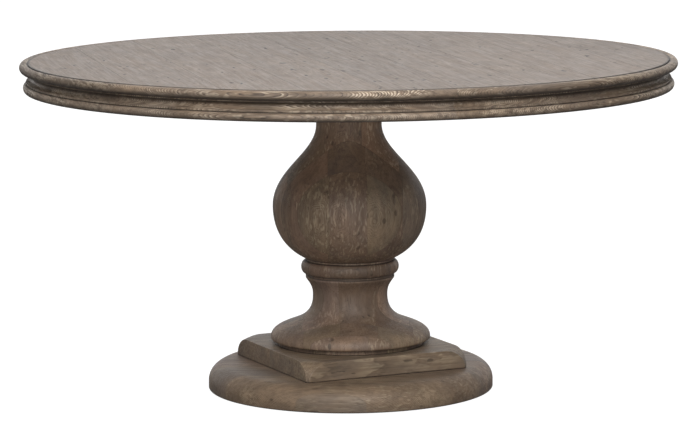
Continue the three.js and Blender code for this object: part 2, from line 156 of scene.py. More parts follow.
def drilled(piece, holes):
    """Bores upright round holes, each given as (x, y, radius, bottom, top), out of a piece."""
    shape = bmesh.new()
    for x, y, radius, bottom, top in holes:
        made = bmesh.ops.create_cone(
            shape, cap_ends=True, segments=64, radius1=radius, radius2=radius, depth=top - bottom
        )
        bmesh.ops.translate(shape, verts=made["verts"], vec=(x, y, (top + bottom) / 2))
    mesh = bpy.data.meshes.new("drill")
    shape.to_mesh(mesh)
    shape.free()
    drill = bpy.data.objects.new("drill", mesh)
    bpy.context.scene.collection.objects.link(drill)
    boring = piece.modifiers.new("boring", "BOOLEAN")
    boring.object = drill
    boring.operation = "DIFFERENCE"
    boring.solver = "EXACT"
    boring.use_self = True
    settled(piece)
    bpy.data.objects.remove(drill)
    bpy.data.meshes.remove(mesh)
    piece.data.shade_smooth()
    piece.data.set_sharp_from_angle(angle=CRISP_TURN)


def settled(piece):
    """Makes a piece's modifiers part of its mesh."""
    bpy.context.view_layer.update()
    whole = piece.evaluated_get(bpy.context.evaluated_depsgraph_get())
    mesh = bpy.data.meshes.new_from_object(whole)
    piece.modifiers.clear()
    before = piece.data
    piece.data = mesh
    bpy.data.meshes.remove(before)
    mesh.name = piece.name


def sawn_from(piece, along, across, pith=(0.0, 0.0), start=0.0, tone=1.0, painted_shade_and_glaze=None):
    """Notes on each corner where it lay in the log: two distances from the pith, then the
    distance along the grain. The oak finishes draw their growth rings from it. tone is how
    light the stain came out; on the baluster and the lip it also carries painted light and
    shade. The last argument gives how much dark glaze and painted shade lies on a corner."""
    along = Vector(along).normalized()
    across = Vector(across).normalized()
    deep = along.cross(across)
    mesh = piece.data
    places = []
    for corner in mesh.vertices:
        places.append(corner.co.dot(across) + pith[0])
        places.append(corner.co.dot(deep) + pith[1])
        places.append(corner.co.dot(along) + start)
    log = mesh.attributes.new("log", "FLOAT_VECTOR", "POINT")
    log.data.foreach_set("vector", places)
    shades = [tone(corner) if callable(tone) else tone for corner in mesh.vertices]
    shade = mesh.attributes.new("tone", "FLOAT", "POINT")
    shade.data.foreach_set("value", shades)
    if painted_shade_and_glaze:
        glaze = mesh.attributes.new("glaze", "FLOAT", "POINT")
        glaze.data.foreach_set("value", [painted_shade_and_glaze(corner) for corner in mesh.vertices])


def painted_shade_and_glaze_near(heights, reach, share=0.9):
    """How much painted shade and dark glaze a corner gets when it lies within reach of one of these heights.
    """

    def glaze(corner):
        nearest = min(abs(corner.co.z - height) for height in heights)
        return share * max(0, 1 - nearest / reach)

    return glaze


def around(radius, count, first=0.0):
    """Places spread evenly round a circle, with the first at an angle in degrees."""
    turns = [math.radians(first) + 2 * math.pi * spot / count for spot in range(count)]
    return [(radius * math.cos(turn), radius * math.sin(turn)) for turn in turns]


# Shader parts that every oak finish shares.


def part(tree, kind, feeds=None, **settings):
    """One shader node. feeds gives each socket a value or another node's socket."""
    node = tree.nodes.new(kind)
    for name, value in settings.items():
        setattr(node, name, value)
    for socket, source in (feeds or {}).items():
        if isinstance(source, bpy.types.NodeSocket):
            tree.links.new(source, node.inputs[socket])
        else:
            node.inputs[socket].default_value = source
    return node


def sums(tree, operation, first, second=None, third=None):
    """One step of arithmetic on numbers or on other nodes' sockets."""
    feeds = {at: value for at, value in enumerate((first, second, third)) if value is not None}
    return part(tree, "ShaderNodeMath", feeds, operation=operation).outputs[0]


def ramp(tree, value, low, high, to_low=0.0, to_high=1.0):
    """A smooth change from to_low to to_high while value goes from low to high."""
    feeds = {"Value": value, "From Min": low, "From Max": high, "To Min": to_low, "To Max": to_high}
    return part(tree, "ShaderNodeMapRange", feeds, interpolation_type="SMOOTHSTEP").outputs[0]


def stretched(tree, vector, scale):
    """A place in the log, scaled apart along its three ways."""
    feeds = {0: vector, 1: scale}
    return part(tree, "ShaderNodeVectorMath", feeds, operation="MULTIPLY").outputs[0]


def speckle(tree, vector, scale, detail=2.0, rough=0.5):
    """Noise over the log, finer across the grain than along it."""
    feeds = {"Vector": stretched(tree, vector, scale), "Scale": 1.0, "Detail": detail, "Roughness": rough}
    return part(tree, "ShaderNodeTexNoise", feeds)


def blended(tree, share, first, second, blend="MIX"):
    """The first colour, with a share of the second laid over it."""
    feeds = {0: share, 6: first, 7: second}
    return part(tree, "ShaderNodeMix", feeds, data_type="RGBA", blend_type=blend).outputs[2]


def group(name, takes, gives):
    """A shader node group with named inputs and outputs."""
    tree = bpy.data.node_groups.new(name, "ShaderNodeTree")
    kinds = {"f": "NodeSocketFloat", "v": "NodeSocketVector", "c": "NodeSocketColor"}
    for label, kind, value in takes:
        socket = tree.interface.new_socket(label, in_out="INPUT", socket_type=kinds[kind])
        socket.default_value = value
    for label, kind in gives:
        tree.interface.new_socket(label, in_out="OUTPUT", socket_type=kinds[kind])
    return tree, tree.nodes.new("NodeGroupInput").outputs, tree.nodes.new("NodeGroupOutput")


def glued_block_group():
    """Cuts the log into glued-up boards: each gets its own stretch of log and its own tone."""
    tree, given, out = group(
        "glued block",
        [
            ("Log", "v", (0, 0, 0)),
            ("Width", "f", 0.1),
            ("Thickness", "f", 0.05),
            ("Pith", "f", 0.07),
            ("Stagger", "f", 1.0),
        ],
        [("Log", "v"), ("Tone", "f"), ("Tint", "f"), ("Seam", "f")],
    )
    place = part(tree, "ShaderNodeSeparateXYZ", {0: given["Log"]}).outputs
    layer = sums(tree, "DIVIDE", place[1], given["Thickness"])
    layer_number = sums(tree, "FLOOR", layer)
    stagger = part(
        tree, "ShaderNodeTexWhiteNoise", {"W": layer_number}, noise_dimensions="1D"
    ).outputs["Value"]
    stagger = sums(tree, "MULTIPLY", stagger, given["Stagger"])
    row = sums(tree, "ADD", sums(tree, "DIVIDE", place[0], given["Width"]), stagger)
    row_number = sums(tree, "FLOOR", row)
    cell = part(tree, "ShaderNodeCombineXYZ", {0: row_number, 1: layer_number, 2: 3.7}).outputs[0]
    luck = part(tree, "ShaderNodeTexWhiteNoise", {"Vector": cell}, noise_dimensions="3D")
    chance = part(tree, "ShaderNodeSeparateColor", {0: luck.outputs["Color"]}).outputs
    across = sums(tree, "SUBTRACT", sums(tree, "FRACT", row), chance[0])
    across = sums(tree, "MULTIPLY", across, given["Width"])
    depth = sums(tree, "MULTIPLY", sums(tree, "FRACT", layer), given["Thickness"])
    deep = sums(tree, "ADD", depth, sums(tree, "MULTIPLY_ADD", chance[1], 0.05, given["Pith"]))
    shifted = sums(tree, "MULTIPLY_ADD", chance[2], 7.0, place[2])
    log = part(tree, "ShaderNodeCombineXYZ", {0: across, 1: deep, 2: shifted}).outputs[0]
    to_row = sums(tree, "MULTIPLY", sums(tree, "PINGPONG", row, 0.5), given["Width"])
    to_layer = sums(tree, "MULTIPLY", sums(tree, "PINGPONG", layer, 0.5), given["Thickness"])
    # PINGPONG at 0.5 is nought on every whole number, which is where two boards meet.
    seam = ramp(tree, sums(tree, "MINIMUM", to_row, to_layer), 0.0, 0.0009, 1.0, 0.0)
    tree.links.new(log, out.inputs["Log"])
    tree.links.new(luck.outputs["Value"], out.inputs["Tone"])
    tree.links.new(chance[1], out.inputs["Tint"])
    tree.links.new(seam, out.inputs["Seam"])
    return tree


def oak_group():
    """Open-grained oak, stained and brushed: rings, pores, fibres, knots and grey patches."""
    tree, given, out = group(
        "weathered oak",
        [
            ("Log", "v", (0, 0, 0)),
            ("Light", "c", (0.3, 0.22, 0.16, 1)),
            ("Dark", "c", (0.08, 0.05, 0.035, 1)),
            ("Grey", "c", (0.2, 0.18, 0.17, 1)),
            ("Pale", "c", (0.5, 0.43, 0.35, 1)),
            ("Ring Gap", "f", 0.0035),
            ("Ripple", "f", 0.0022),
            ("Taper", "f", 0.03),
            ("Grain", "f", 0.6),
            ("Pores", "f", 0.6),
            ("Patches", "f", 0.5),
            ("Knots", "f", 0.5),
            ("Checks", "f", 0.5),
            ("Rubbed", "f", 0.4),
            ("Flecks", "f", 0.4),
            ("Tone", "f", 1.0),
        ],
        [("Color", "c"), ("Roughness", "f"), ("Height", "f")],
    )
    log = given["Log"]

    def shove(vector, source, reach):
        """Pushes a place in the log sideways by up to half of reach."""
        centred = part(tree, "ShaderNodeVectorMath", {0: source, 1: (0.5, 0.5, 0.5)}, operation="SUBTRACT")
        reaches = part(tree, "ShaderNodeCombineXYZ", {0: reach, 1: reach, 2: 0.0}).outputs[0]
        feeds = {0: centred.outputs[0], 1: reaches, 2: vector}
        return part(tree, "ShaderNodeVectorMath", feeds, operation="MULTIPLY_ADD").outputs[0]

    slow = speckle(tree, log, (3.0, 3.0, 1.1), 2.0)
    quick = speckle(tree, log, (24.0, 24.0, 5.0), 2.0)
    ripple = speckle(tree, log, (90.0, 90.0, 40.0), 1.0)
    wandering = shove(shove(log, slow.outputs["Color"], 0.045), quick.outputs["Color"], 0.0045)
    wandering = shove(wandering, ripple.outputs["Color"], given["Ripple"])

    # A knot is a branch, so it runs straight out from the pith.
    knots = part(
        tree,
        "ShaderNodeTexVoronoi",
        {"Vector": stretched(tree, wandering, (4.6, 0.0, 2.4)), "Scale": 1.0, "Randomness": 1.0},
    )
    luck = part(tree, "ShaderNodeSeparateColor", {0: knots.outputs["Color"]}).outputs[0]
    has_knot = sums(tree, "MULTIPLY", ramp(tree, luck, 0.42, 0.5), given["Knots"])
    away = knots.outputs["Distance"]
    swirl = sums(tree, "MULTIPLY", ramp(tree, away, 0.0, 0.30, 1.0, 0.0), has_knot)
    eye = sums(tree, "MULTIPLY", ramp(tree, away, 0.018, 0.062, 1.0, 0.0), has_knot)

    spot = part(tree, "ShaderNodeSeparateXYZ", {0: wandering}).outputs
    out_from_pith = sums(
        tree,
        "SQRT",
        sums(tree, "ADD", sums(tree, "MULTIPLY", spot[0], spot[0]), sums(tree, "MULTIPLY", spot[1], spot[1])),
    )
    out_from_pith = sums(tree, "MULTIPLY_ADD", spot[2], given["Taper"], out_from_pith)
    out_from_pith = sums(tree, "MULTIPLY_ADD", swirl, 0.022, out_from_pith)
    ring = sums(tree, "DIVIDE", out_from_pith, given["Ring Gap"])
    age = sums(tree, "FRACT", ring)
    year = part(
        tree, "ShaderNodeTexWhiteNoise", {"W": sums(tree, "FLOOR", ring)}, noise_dimensions="1D"
    ).outputs["Value"]
    early = sums(tree, "MULTIPLY", ramp(tree, age, 0.0, 0.5, 1.0, 0.0), ramp(tree, year, 0.0, 1.0, 0.35, 1.0))
    early = sums(tree, "MULTIPLY", early, ramp(tree, age, 0.0, 0.08))

    fibre = speckle(tree, wandering, (170.0, 170.0, 5.0), 4.0, 0.6).outputs[0]
    streak = speckle(tree, wandering, (42.0, 42.0, 1.6), 3.0, 0.6).outputs[0]
    vessel = speckle(tree, wandering, (620.0, 620.0, 26.0), 1.0).outputs[0]
    pore = sums(tree, "MULTIPLY", ramp(tree, vessel, 0.52, 0.64), ramp(tree, early, 0.0, 0.6, 0.25, 1.0))
    pore = sums(tree, "MULTIPLY", pore, given["Pores"])
    check = ramp(tree, speckle(tree, wandering, (58.0, 58.0, 24.0), 1.0).outputs[0], 0.71, 0.75)
    cloud = speckle(tree, wandering, (7.0, 7.0, 2.4), 4.0, 0.6).outputs[0]
    mottle = speckle(tree, log, (30.0, 30.0, 16.0), 3.0, 0.65).outputs[0]

    darkness = sums(tree, "MULTIPLY", early, 0.75)
    darkness = sums(tree, "MULTIPLY_ADD", ramp(tree, fibre, 0.38, 0.66), 0.40, darkness)
    darkness = sums(tree, "MULTIPLY_ADD", ramp(tree, streak, 0.40, 0.66), 0.25, darkness)
    darkness = sums(tree, "MULTIPLY", darkness, given["Grain"])
    darkness = sums(tree, "MULTIPLY_ADD", swirl, 0.25, darkness)
    wood = blended(tree, darkness, given["Light"], given["Dark"])
    # The hard late wood stands proud of the brushed surface and is rubbed pale.
    worn_patch = ramp(tree, speckle(tree, log, (11.0, 11.0, 9.0), 2.0).outputs[0], 0.44, 0.62)
    proud = sums(tree, "MULTIPLY", ramp(tree, age, 0.45, 0.8), ramp(tree, fibre, 0.62, 0.42))
    proud = sums(tree, "MULTIPLY", sums(tree, "MULTIPLY", proud, worn_patch), given["Rubbed"])
    fleck = speckle(tree, wandering, (210.0, 110.0, 46.0), 1.0).outputs[0]
    fleck_patch = ramp(tree, speckle(tree, log, (6.0, 6.0, 6.0), 1.0).outputs[0], 0.45, 0.60)
    fleck = sums(tree, "MULTIPLY", ramp(tree, fleck, 0.54, 0.66), fleck_patch)
    fleck = sums(tree, "MULTIPLY", fleck, given["Flecks"])
    wood = blended(tree, sums(tree, "MAXIMUM", proud, fleck), wood, given["Pale"])
    grey_share = sums(tree, "MULTIPLY", ramp(tree, cloud, 0.42, 0.68), given["Patches"])
    wood = blended(tree, grey_share, wood, given["Grey"])
    wood = blended(tree, sums(tree, "MULTIPLY", pore, 0.75), wood, (0.016, 0.011, 0.008, 1))
    check = sums(tree, "MULTIPLY", check, given["Checks"])
    gap = sums(tree, "MAXIMUM", sums(tree, "MULTIPLY", eye, 0.85), check)
    wood = blended(tree, gap, wood, (0.02, 0.013, 0.009, 1))
    bright = sums(tree, "MULTIPLY", given["Tone"], ramp(tree, mottle, 0.3, 0.7, 0.86, 1.14))
    wood = part(tree, "ShaderNodeVectorMath", {0: wood, "Scale": bright}, operation="SCALE").outputs[0]

    rough = sums(tree, "ADD", ramp(tree, fibre, 0.3, 0.7, 0.50, 0.66), sums(tree, "MULTIPLY", pore, 0.2))
    height = sums(tree, "MULTIPLY_ADD", pore, -1.0, sums(tree, "MULTIPLY", early, -0.45))
    height = sums(tree, "MULTIPLY_ADD", fibre, -0.5, height)
    height = sums(tree, "MULTIPLY_ADD", gap, -1.5, height)
    tree.links.new(wood, out.inputs["Color"])
    tree.links.new(rough, out.inputs["Roughness"])
    tree.links.new(height, out.inputs["Height"])
    return tree


GLUED_BLOCK = glued_block_group()
OAK = oak_group()
# The dark colour of the glaze, also used for painted shade.
GLAZE_AND_SHADE_COLOUR = (0.020, 0.013, 0.009, 1)


def oak_finish(name, light, dark, grey, block=None, relief=0.5, shine=0.5, reach=0.007, **values):
    """An oak finish. Hollows, contacts and joints narrower than reach are darkened with the glaze
    colour: partly dark glaze, partly painted shade. block gives glued-up boards: their width,
    thickness, distance from the pith, stagger and spread of tone."""
    finish = bpy.data.materials.new(name)
    finish.use_nodes = True
    tree = finish.node_tree
    tree.nodes.clear()
    log = part(tree, "ShaderNodeAttribute", attribute_name="log").outputs["Vector"]
    tone = part(tree, "ShaderNodeAttribute", attribute_name="tone").outputs["Fac"]
    seam = 0.0
    if block:
        boards = part(tree, "ShaderNodeGroup", node_tree=GLUED_BLOCK)
        tree.links.new(log, boards.inputs["Log"])
        for socket, value in zip(("Width", "Thickness", "Pith", "Stagger"), block):
            boards.inputs[socket].default_value = value
        log = boards.outputs["Log"]
        spread = block[4]
        board_tone = ramp(tree, boards.outputs["Tone"], 0.0, 1.0, 1 - spread, 1 + spread)
        tone = sums(tree, "MULTIPLY", tone, board_tone)
        seam = sums(tree, "MULTIPLY", boards.outputs["Seam"], 1.5 * spread)
    oak = part(tree, "ShaderNodeGroup", node_tree=OAK)
    feeds = {"log": log, "light": light, "dark": dark, "grey": grey, "tone": tone, **values}
    for label, value in feeds.items():
        socket = oak.inputs[label.replace("_", " ").title()]
        if isinstance(value, bpy.types.NodeSocket):
            tree.links.new(value, socket)
        else:
            socket.default_value = value
    # Painted shade and glaze: ambient occlusion darkens hollows and the contacts between pieces.
    openness = part(tree, "ShaderNodeAmbientOcclusion", {"Distance": reach}, samples=6).outputs["AO"]
    hollow_painted_shade = ramp(tree, openness, 0.25, 0.85, 0.9, 0.0)
    # Painted shade and glaze set on the corners themselves are added here.
    left = part(tree, "ShaderNodeAttribute", attribute_name="glaze").outputs["Fac"]
    hollow_painted_shade = sums(tree, "MAXIMUM", hollow_painted_shade, left)
    colour = oak.outputs["Color"]
    if block:
        tint = blended(tree, boards.outputs["Tint"], (1.03, 0.98, 0.98, 1), (0.96, 1.01, 0.95, 1))
        colour = blended(tree, 1.0, colour, tint, "MULTIPLY")
    painted_shade_and_glaze = blended(tree, sums(tree, "MAXIMUM", hollow_painted_shade, seam), colour, GLAZE_AND_SHADE_COLOUR)
    feeds = {"Height": oak.outputs["Height"], "Strength": relief, "Distance": 0.0006}
    bump = part(tree, "ShaderNodeBump", feeds)
    surface = part(
        tree,
        "ShaderNodeBsdfPrincipled",
        {"Base Color": painted_shade_and_glaze, "Roughness": oak.outputs["Roughness"], "Normal": bump.outputs[0]},
    )
    surface.inputs["Specular IOR Level"].default_value = shine
    out = part(tree, "ShaderNodeOutputMaterial")
    tree.links.new(surface.outputs[0], out.inputs["Surface"])
    return finish


DARK_OAK = {
    "light": (0.208, 0.138, 0.092, 1),
    "dark": (0.064, 0.041, 0.027, 1),
    "grey": (0.130, 0.101, 0.087, 1),
    "Pale": (0.340, 0.260, 0.180, 1),
}
slab_oak = oak_finish(
    "slab oak",
    **DARK_OAK,
    block=(0.11, BOARD_WIDTH, 0.05, 0.0, 0.07),
    Taper=0.007,
    Rubbed=0.6,
    Ring_Gap=0.0026,
)

base_low, base_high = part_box("base_disc")
base_radius = base_high.x
slab = worn(
    [
        (ROD_BORE, base_low.z + NUT_POCKET[1]),
        (NUT_POCKET[0], base_low.z + NUT_POCKET[1]),
        (NUT_POCKET[0], base_low.z),
        (base_radius - SLAB_EASING, base_low.z),
        (base_radius, base_low.z + SLAB_EASING),
    ]
    + arc(base_radius - SLAB_ROUND[0], base_high.z - SLAB_ROUND[1], *SLAB_ROUND, 0, 90, 20)
    + [(SLAB_FLAT, base_high.z), (ROD_BORE, base_high.z)]
)
base = piece_of("base_disc_oak", *spun(slab, waver=0.0004))
foot_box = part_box("foot_insert_1")
foot_circle = math.hypot(*((foot_box[0] + foot_box[1]) / 2).xy)
holes = []
for x, y in around(SCREW_CIRCLE, 4):
    holes.append((x, y, SCREW_POCKET[0], base_low.z - DRILL_PAST, base_low.z + SCREW_POCKET[1]))
    holes.append((x, y, SCREW_HOLE, base_low.z, base_high.z + DRILL_PAST))
for x, y in around(foot_circle, 4, 45):
    holes.append((x, y, FOOT_POCKET, base_low.z - DRILL_PAST, foot_box[0].z))
    holes.append((x, y, FOOT_BORE[0], base_low.z, base_low.z + FOOT_BORE[1]))
drilled(base, holes)
sawn_from(
    base,
    (math.cos(GRAIN_TURN), math.sin(GRAIN_TURN), 0),
    (0, 0, 1),
    pith=(0.0, 0.03),
    # Painted shade: the slab darkens towards its bottom edge, near the floor.
    painted_shade_and_glaze=painted_shade_and_glaze_near([base_low.z], SLAB_SHADE_RISE, 0.4),
)
base.data.materials.append(slab_oak)
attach(base, "table")
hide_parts("base_disc")

# ------------------------------------------------------------ Square plinth
# A thick oak disc, its whole edge turned to a quarter-round, and then sawn square on four
# sides, so that each sawn face has an arched top and a piece of the turned edge is left
# at each corner. Four screws come up into it from the base.

PLINTH_CORNER = 0.2846
PLINTH_ROUND = (0.037, 0.042)
PLINTH_WEAR = 0.0009
PLINTH_WEAR_SPREAD = 0.0006
PLINTH_WEAR_PITCH = 22
PLINTH_SHADOW_RISE = 0.003
PLINTH_SCREW_DEPTH = 0.026
ARRIS_ROUNDNESS = 0.0005
MORTISE = (0.0605, 0.022)
FACE_SHARE = 0.97
FACE_STEPS = 60
CORNER_STEPS = 36
TOP_STEPS = 12


def plinth_edge(turn):
    """How far the plinth's upright edge stands from the middle at an angle."""
    reaches = [PLINTH_CORNER]
    for lean in (math.cos(turn), math.sin(turn)):
        reaches.append(plinth_half / max(abs(lean), 1e-3))
    nearest = min(reaches)
    total = sum(math.exp((nearest - reach) / ARRIS_ROUNDNESS) for reach in reaches)
    return nearest - ARRIS_ROUNDNESS * math.log(total)


def plinth_height(reach):
    """How high the turned top of the plinth is at a distance from the middle."""
    past = (reach - PLINTH_CORNER) / PLINTH_ROUND[0] + 1
    return plinth_high.z - PLINTH_ROUND[1] * (1 - math.sqrt(1 - min(max(past, 0), 1) ** 2))


def plinth_section(turn):
    """The outline from the bore out to the edge and back over the top, at one angle."""
    edge = plinth_edge(turn)
    spot = Vector((math.cos(turn), math.sin(turn), 0)) * edge
    wear = PLINTH_WEAR + PLINTH_WEAR_SPREAD * noise.noise(spot * PLINTH_WEAR_PITCH)
    brow = plinth_height(edge)
    points = [
        (ROD_BORE, plinth_low.z),
        (edge - 0.0025, plinth_low.z),
        (edge - 0.0010, plinth_low.z),
        (edge - 0.0003, plinth_low.z + 0.0003),
        (edge, plinth_low.z + 0.0010),
        (edge, plinth_low.z + 0.0025),
        (edge, brow - 2.2 * wear),
        (edge, brow - wear),
        (edge - 0.12 * wear, brow - 0.55 * wear),
        (edge - 0.45 * wear, plinth_height(edge - 0.45 * wear) - 0.14 * wear),
        (edge - wear, plinth_height(edge - wear)),
    ]
    inner = MORTISE[0]
    outer = edge - 1.8 * wear
    flat = min(outer, PLINTH_CORNER - PLINTH_ROUND[0])
    # Each ring lies a little further in than the last, so that no two fall on one line.
    for step in range(TOP_STEPS):
        bend = math.asin(min(1, max(0, (outer - flat) / PLINTH_ROUND[0]))) * (1 - step / TOP_STEPS)
        reach = flat + PLINTH_ROUND[0] * math.sin(bend)
        points.append((reach - 0.0001 * step, plinth_height(reach)))
    for reach in (flat - 0.002, flat - 0.02, inner + 0.03, inner):
        points.append((reach, plinth_high.z))
    points.append((inner, plinth_high.z - MORTISE[1]))
    points.append((ROD_BORE, plinth_high.z - MORTISE[1]))
    return points


plinth_low, plinth_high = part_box("square_plinth")
plinth_half = plinth_high.x
corner_turn = math.acos(plinth_half / PLINTH_CORNER)
turns = []
for quarter in range(4):
    middle = quarter * math.pi / 2
    face_turn = FACE_SHARE * corner_turn
    turns += [middle + face_turn * (2 * step / FACE_STEPS - 1) for step in range(FACE_STEPS)]
    strip = math.pi / 2 - 2 * face_turn
    turns += [middle + face_turn + strip * step / CORNER_STEPS for step in range(CORNER_STEPS)]
sections = [plinth_section(turn) for turn in turns]
corners = []
for turn, section in zip(turns, sections):
    corners += [(reach * math.cos(turn), reach * math.sin(turn), height) for reach, height in section]
plinth = piece_of("square_plinth_oak", corners, ringed(len(turns), len(sections[0])))
holes = []
for x, y in around(SCREW_CIRCLE, 4):
    holes.append((x, y, SCREW_HOLE, plinth_low.z - DRILL_PAST, plinth_low.z + PLINTH_SCREW_DEPTH))
drilled(plinth, holes)
sawn_from(
    plinth,
    (1, 0, 0),
    (0, 0, 1),
    pith=(0.0, 0.36),
    start=2.3,
    # Painted shadow: a thin dark line round the plinth's foot, where it stands on the base.
    painted_shade_and_glaze=painted_shade_and_glaze_near([plinth_low.z], PLINTH_SHADOW_RISE),
)
plinth.data.materials.append(slab_oak)
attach(plinth, "table")
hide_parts("square_plinth")

# ---------------------------------------------- Foot ring, spool and collar
# Three turnings threaded on the tie rod: a thin foot ring, a waisted spool that flares
# into a bell-shaped skirt, and a half-round collar with a line of painted shade and dark glaze above and
# below.

TENON = 0.045
FOOT_TENON = 0.060
SEAM = 0.0003
SKIRT_FOOT = 0.181
SKIRT_WIDEST_RISE = 0.0066
SHOULDER = (0.1206, 0.0506)
WAIST = (0.0873, 0.046)
BRIM = (0.104, 0.0046)
SPOOL_SOCKET = 0.036
BULB_FOOT = 0.104
COLLAR_FOOT = 0.005
JOINT_SHADE_REACH = 0.0018
COLUMN_TONES = (0.85, 0.96, 0.86)
FRONT = math.radians(-115)
SIDEWAYS = (-math.sin(FRONT), math.cos(FRONT), 0)


def bezier(start, pull_start, pull_end, end, steps=24):
    """Points on one cubic curve, leaving out its first point."""
    points = []
    for step in range(1, steps + 1):
        t = step / steps
        s = 1 - t
        weights = (s**3, 3 * s * s * t, 3 * s * t * t, t**3)
        corners = (start, pull_start, pull_end, end)
        points.append(tuple(sum(w * c[k] for w, c in zip(weights, corners)) for k in (0, 1)))
    return points


column_oak = oak_finish(
    "column oak",
    **DARK_OAK,
    block=(0.086, 0.050, 0.045, 1.0, 0.2),
    Taper=0.05,
    Grain=0.50,
    Flecks=0.7,
    Ring_Gap=0.0016,
    Ripple=0.0050,
)

ring_low, ring_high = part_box("foot_ring")
ring_outline = worn(
    [
        (FOOT_TENON + SEAM, ring_low.z),
        (ring_high.x, ring_low.z),
        (ring_high.x, ring_high.z),
        (FOOT_TENON + SEAM, ring_high.z),
    ]
)
foot_ring = piece_of("foot_ring_oak", *spun(ring_outline, waver=0.0002))

spool_low, spool_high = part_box("spool")
skirt_radius = spool_high.x
skirt_bottom = ring_high.z + SEAM
spool_top = spool_high.z
widest = skirt_bottom + SKIRT_WIDEST_RISE
shoulder = (SHOULDER[0], skirt_bottom + SHOULDER[1])
waist = (WAIST[0], spool_top - WAIST[1])
brim = (BRIM[0], spool_top - BRIM[1])
spool_outline = [(ROD_BORE, spool_low.z), (FOOT_TENON, spool_low.z), (FOOT_TENON, skirt_bottom)]
spool_outline += [(SKIRT_FOOT, skirt_bottom)]
spool_outline += bezier(
    (SKIRT_FOOT, skirt_bottom),
    (SKIRT_FOOT + 0.6 * (skirt_radius - SKIRT_FOOT), skirt_bottom + 0.0008),
    (skirt_radius, skirt_bottom + 0.0028),
    (skirt_radius, widest),
    12,
)
spool_outline += bezier(
    (skirt_radius, widest),
    (skirt_radius, widest + 0.58 * (shoulder[1] - widest)),
    (shoulder[0] + 0.43 * (skirt_radius - shoulder[0]), shoulder[1] - 0.32 * (shoulder[1] - widest)),
    shoulder,
)
spool_outline += bezier(
    shoulder,
    (shoulder[0] - 0.86 * (shoulder[0] - waist[0]), shoulder[1] + 0.26 * (waist[1] - shoulder[1])),
    (waist[0], waist[1] - 0.37 * (waist[1] - shoulder[1])),
    waist,
)
spool_outline += bezier(
    waist,
    (waist[0], waist[1] + 0.022),
    (brim[0] - 0.47 * (brim[0] - waist[0]), brim[1] - 0.012),
    brim,
)
socket = spool_top - SPOOL_SOCKET
spool_outline += [(brim[0], spool_top), (TENON + SEAM, spool_top)]
spool_outline += [(TENON + SEAM, socket), (ROD_BORE, socket)]
spool = piece_of("spool_oak", *spun(worn(spool_outline), waver=0.0005, seed=2.0))

collar_low, collar_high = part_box("collar_ring")
collar_round = collar_high.x - BULB_FOOT
collar_foot = collar_low.z + COLLAR_FOOT
collar_half = (collar_high.z - collar_foot) / 2
collar_outline = [(TENON + SEAM, collar_low.z), (BULB_FOOT, collar_low.z)]
collar_outline += arc(BULB_FOOT, collar_foot + collar_half, collar_round, collar_half - 0.0002, -90, 90, 24)
collar_outline += [(BULB_FOOT, collar_high.z), (TENON + SEAM, collar_high.z)]
collar = piece_of("collar_ring_oak", *spun(worn(collar_outline, 0.0008), waver=0.0004, seed=4.0))

# Painted shade and dark glaze lie in the joints above and below the collar and the foot ring.
joints = (ring_low.z, skirt_bottom, spool_top, collar_low.z, collar_foot, collar_high.z)
turnings = [(foot_ring, "foot_ring"), (spool, "spool"), (collar, "collar_ring")]
for number, (piece, node) in enumerate(turnings):
    sawn_from(
        piece,
        (0, 0, 1),
        SIDEWAYS,
        pith=(0.02 * number, 0.012),
        start=1.7 * number,
        tone=COLUMN_TONES[number],
        painted_shade_and_glaze=painted_shade_and_glaze_near(joints, JOINT_SHADE_REACH),
    )
    piece.data.materials.append(column_oak)
    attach(piece, "table")
    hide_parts(node)

# ----------------------------------------------------------------- Baluster
# The neck and the onion-shaped bulb are one turning from a block of glued-up oak, with
# the grain upright. A tenon on its foot goes through the collar into the spool.

NECK = 0.0765
NECK_LENGTH = 0.061
BELLY_SHARE = 0.4
BULB_FOOT_HEIGHT = 0.005
PAINTED_HIGHLIGHT_REACH = 0.085
FACING = (math.cos(FRONT), math.sin(FRONT), 0)

bulb_low, bulb_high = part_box("baluster")
belly_radius = bulb_high.x
bulb_bottom = collar_high.z + SEAM
neck_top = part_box("mounting_plate")[0].z - SEAM
neck_bottom = neck_top - NECK_LENGTH
belly = bulb_bottom + BELLY_SHARE * (neck_bottom - bulb_bottom)
foot_top = bulb_bottom + BULB_FOOT_HEIGHT
bulb_outline = [(ROD_BORE, bulb_low.z), (TENON, bulb_low.z), (TENON, bulb_bottom)]
bulb_outline += [(BULB_FOOT, bulb_bottom), (BULB_FOOT, foot_top)]
bulb_outline += bezier(
    (BULB_FOOT, foot_top),
    (BULB_FOOT + 0.43 * (belly_radius - BULB_FOOT), foot_top + 0.12 * (belly - foot_top)),
    (belly_radius, belly - 0.6 * (belly - foot_top)),
    (belly_radius, belly),
    48,
)
bulb_outline += bezier(
    (belly_radius, belly),
    (belly_radius, belly + 0.44 * (neck_bottom - belly)),
    (NECK, neck_bottom - 0.35 * (neck_bottom - belly)),
    (NECK, neck_bottom),
    48,
)
bulb_outline += [(NECK, neck_top), (TENON, neck_top), (TENON, bulb_high.z), (ROD_BORE, bulb_high.z)]
baluster = piece_of("baluster_oak", *spun(worn(bulb_outline), steps=320, waver=0.0008, seed=7.0))
painted_highlight_spot = Vector(FACING) * belly_radius + Vector((0, 0, belly))


def bulb_painted_light(corner):
    """Painted light: a painted highlight on the front of the belly, facing the camera, and the bulb painted
    lighter towards the neck.
    """
    painted_highlight = math.exp(-(((corner.co - painted_highlight_spot).length / PAINTED_HIGHLIGHT_REACH) ** 2))
    upper = min(max((corner.co.z - belly - 0.03) / 0.1, 0), 1)
    return 1.0 + 0.38 * painted_highlight + 0.38 * upper


